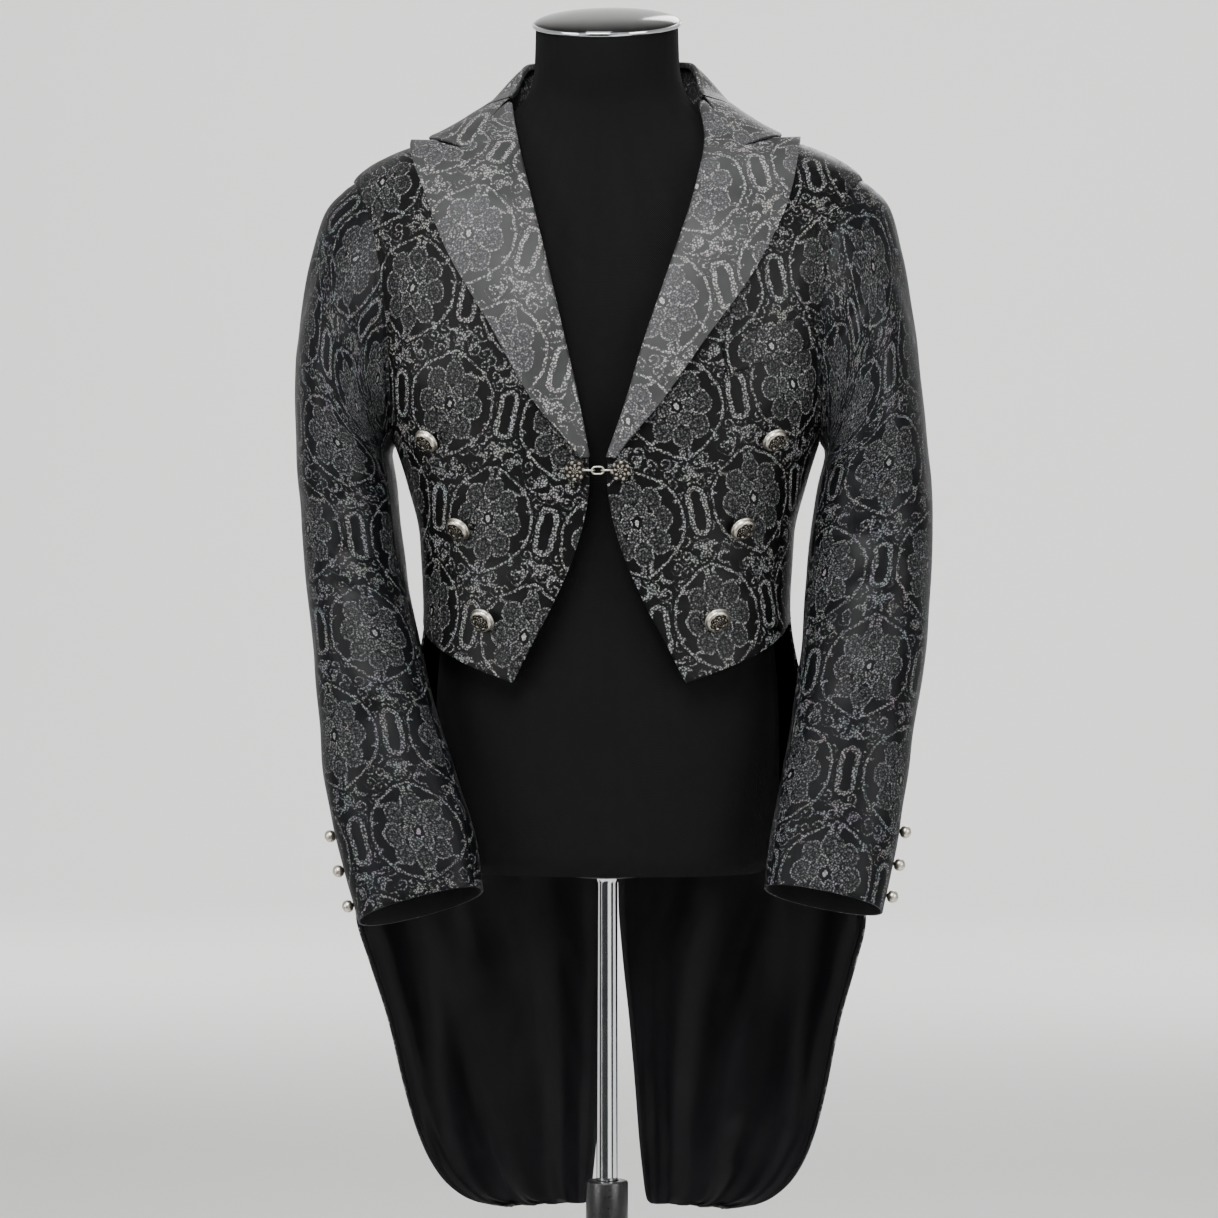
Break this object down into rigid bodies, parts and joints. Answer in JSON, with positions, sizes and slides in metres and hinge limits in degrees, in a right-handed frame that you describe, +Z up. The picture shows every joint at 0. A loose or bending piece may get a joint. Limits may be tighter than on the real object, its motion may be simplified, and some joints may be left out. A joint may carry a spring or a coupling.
{
  "type": "brocade tailcoat on a limbless dress form",
  "caption": "Brocade cutaway tailcoat with peak lapels and a chain clasp, filled out on a limbless dress form that stands on a telescoping pole and a round base.",
  "frame": {"origin": "middle of the base plate's underside, on the floor", "axes": "+Z up, +X to the wearer's left, and the coat faces -Y"},
  "size_m": [0.5725, 0.35, 1.5835],
  "materials": {
    "brocade": "woven, satin ground with raised cords",
    "satin": "satin",
    "form": "matte cover",
    "cap": "gloss",
    "silver": "antique silver plate",
    "chrome": "polished",
    "stand": "black, satin"
  },
  "bodies": {
    "stand": {"base_plate": "stand", "stand_tube": "stand", "tube_bushing": "stand"},
    "coat_and_form": {"back_left": "brocade", "back_right": "brocade", "breast_welt": "brocade", "chain_link_1": "silver", "chain_link_2": "silver", "chain_link_3": "silver", "clasp_ornament_left": "silver", "clasp_ornament_right": "silver", "collar_fall": "brocade", "collar_stand": "brocade", "cuff_button_left_1": "silver", "cuff_button_left_2": "silver", "cuff_button_left_3": "silver", "cuff_button_right_1": "silver", "cuff_button_right_2": "silver", "cuff_button_right_3": "silver", "dress_form": "form", "front_button_left_1": "silver", "front_button_left_2": "silver", "front_button_left_3": "silver", "front_button_right_1": "silver", "front_button_right_2": "silver", "front_button_right_3": "silver", "front_left": "brocade", "front_right": "brocade", "lapel_left": "brocade", "lapel_right": "brocade", "neck_cap": "cap", "pole": "chrome", "tail_left": "brocade", "tail_lining_left": "satin", "tail_lining_right": "satin", "tail_right": "brocade", "under_sleeve_left": "brocade", "under_sleeve_right": "brocade", "upper_sleeve_left": "brocade", "upper_sleeve_right": "brocade"}
  },
  "joints": [
    {"name": "pole_slide", "type": "slide", "parent": "stand", "child": "coat_and_form", "axis": [0, 0, 1], "range_m": [-0.19, 0.2]}
  ]
}
